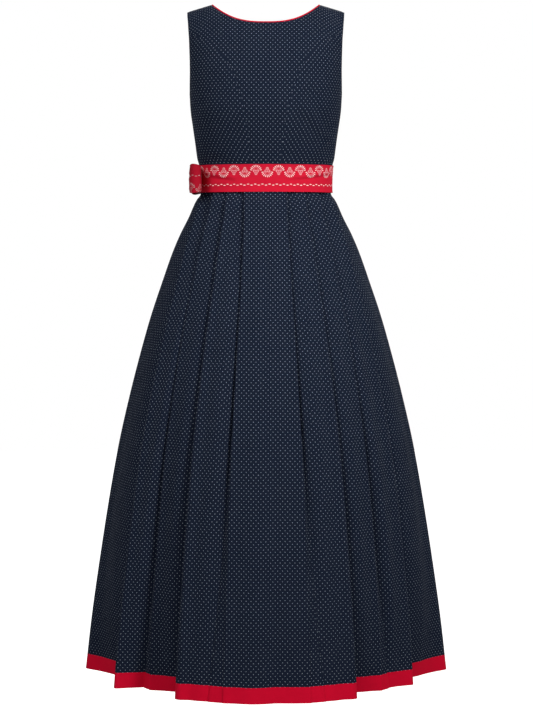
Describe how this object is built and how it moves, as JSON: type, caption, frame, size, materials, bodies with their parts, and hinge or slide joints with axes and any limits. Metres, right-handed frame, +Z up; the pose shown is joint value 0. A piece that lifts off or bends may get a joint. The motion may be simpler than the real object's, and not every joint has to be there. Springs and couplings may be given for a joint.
{
  "type": "dirndl",
  "caption": "Sleeveless long folk dress with a wide shallow neck, seamed bodice, printed belt with a side bow, and a pleated skirt with a contrasting hem band.",
  "frame": {"origin": "midway between the two shoulder seams, where the wearer's shoulders carry the dress", "axes": "+Z up, -Y out of the front, +X towards the wearer's left"},
  "size_m": [0.726, 0.6462, 1.3247],
  "materials": {
    "navy_cotton": "matt woven cotton, dark navy with fine pale pin dots",
    "red_cotton": "matt woven cotton, deep red",
    "red_print": "smooth red cotton with a pink and white folk border print",
    "zip_metal": "dark enamelled metal"
  },
  "bodies": {
    "dress": {"bodice_front": "navy_cotton", "bodice_side_front_left": "navy_cotton", "bodice_side_front_right": "navy_cotton", "bodice_back_left": "navy_cotton", "bodice_back_right": "navy_cotton", "neck_piping": "red_cotton", "skirt_front": "navy_cotton", "skirt_back_left": "navy_cotton", "skirt_back_right": "navy_cotton", "hem_band_front": "red_cotton", "hem_band_back_left": "red_cotton", "hem_band_back_right": "red_cotton", "belt": "red_print", "bow_loop_front": "red_print", "bow_loop_back": "red_print", "bow_knot": "red_print", "zip_slider": "zip_metal"},
    "pull": {"zip_pull": "zip_metal"}
  },
  "joints": [
    {"name": "pull_swing", "type": "hinge", "parent": "dress", "child": "pull", "pos_m": [0, 0.08407, -0.05464], "axis": [1, 0, 0], "range_deg": [0, 150]}
  ]
}
